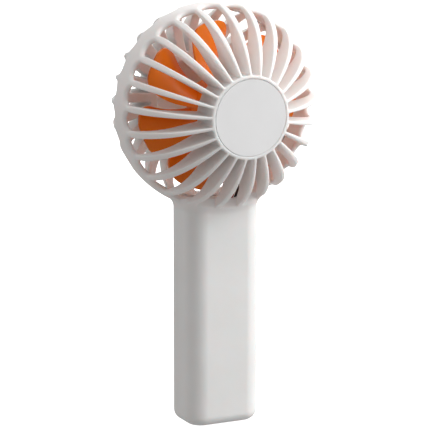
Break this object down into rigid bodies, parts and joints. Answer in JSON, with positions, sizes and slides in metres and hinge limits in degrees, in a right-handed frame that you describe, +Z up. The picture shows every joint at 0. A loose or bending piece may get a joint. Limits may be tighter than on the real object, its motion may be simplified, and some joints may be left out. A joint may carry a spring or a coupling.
{
  "type": "handheld electric fan",
  "caption": "ball-shaped fan head with deep radial fins and a flat round cap, on a plain upright handle with a button and charging port at the back",
  "frame": {"origin": "centre of the flat foot pad under the handle", "axes": "+Z up along the handle, the fan blows towards -Y, +X to the right seen from the front"},
  "size_m": [0.09, 0.079, 0.186],
  "materials": {
    "black_plastic": "moulded",
    "black_wire": "insulation",
    "board_green": "solder mask",
    "brass": "turned",
    "bright_steel": "ground",
    "cell_wrap": "metal can in a blue shrink wrap",
    "chip_black": "moulded packages",
    "clear_plastic": "clear light guide",
    "copper": "turned copper",
    "cradle_plastic": "moulded",
    "enamel_copper": "enamelled wire",
    "ferrite": "ground ferrite",
    "foam": "closed-cell foam",
    "grey_cap": "satin moulded plastic, slightly greyer than the shell",
    "lamination": "stacked sheet",
    "lamp_body": "small lamps",
    "nickel": "strip",
    "orange_plastic": "smooth satin-gloss moulded plastic",
    "pad_rubber": "matt silicone",
    "red_wire": "insulation",
    "screw_steel": "zinc plated",
    "sintered_bronze": "sintered",
    "switch_metal": "stamped cover",
    "tinned_metal": "stamped and tinned",
    "white_button": "satin moulded plastic",
    "white_shell": "satin moulded plastic, fine even texture",
    "zinc_steel": "zinc plated, drawn"
  },
  "bodies": {
    "fan_body": {"battery_cell": "cell_wrap", "battery_cradle": "cradle_plastic", "battery_lead_negative": "black_wire", "battery_lead_positive": "red_wire", "battery_pad": "foam", "battery_tabs": "nickel", "board_chips": "chip_black", "board_screws": "screw_steel", "charging_port": "tinned_metal", "circuit_board": "board_green", "foot_pad": "pad_rubber", "front_cap": "grey_cap", "front_housing": "white_shell", "housing_screws": "screw_steel", "lamp_lens": "clear_plastic", "motor_bearings": "sintered_bronze", "motor_brushes": "copper", "motor_can": "zinc_steel", "motor_end_bell": "black_plastic", "motor_magnets": "ferrite", "motor_screws": "screw_steel", "motor_terminals": "tinned_metal", "motor_wire_negative": "black_wire", "motor_wire_positive": "red_wire", "port_tongue": "black_plastic", "rear_housing": "white_shell", "status_lamps": "lamp_body", "switch_body": "switch_metal"},
    "fan_wheel": {"impeller": "orange_plastic", "impeller_insert": "brass", "motor_shaft": "bright_steel", "rotor_core": "lamination", "rotor_windings": "enamel_copper", "commutator": "copper"},
    "button": {"power_button": "white_button", "switch_plunger": "black_plastic"}
  },
  "joints": [
    {"name": "fan_spin", "type": "hinge", "parent": "fan_body", "child": "fan_wheel", "pos_m": [0, 0, 0.141], "axis": [0, -1, 0], "continuous": true},
    {"name": "button_press", "type": "slide", "parent": "fan_body", "child": "button", "axis": [0, -1, 0], "range_m": [0, 0.0004], "stiffness_N_per_m": 1500, "springref_m": -0.0005}
  ]
}
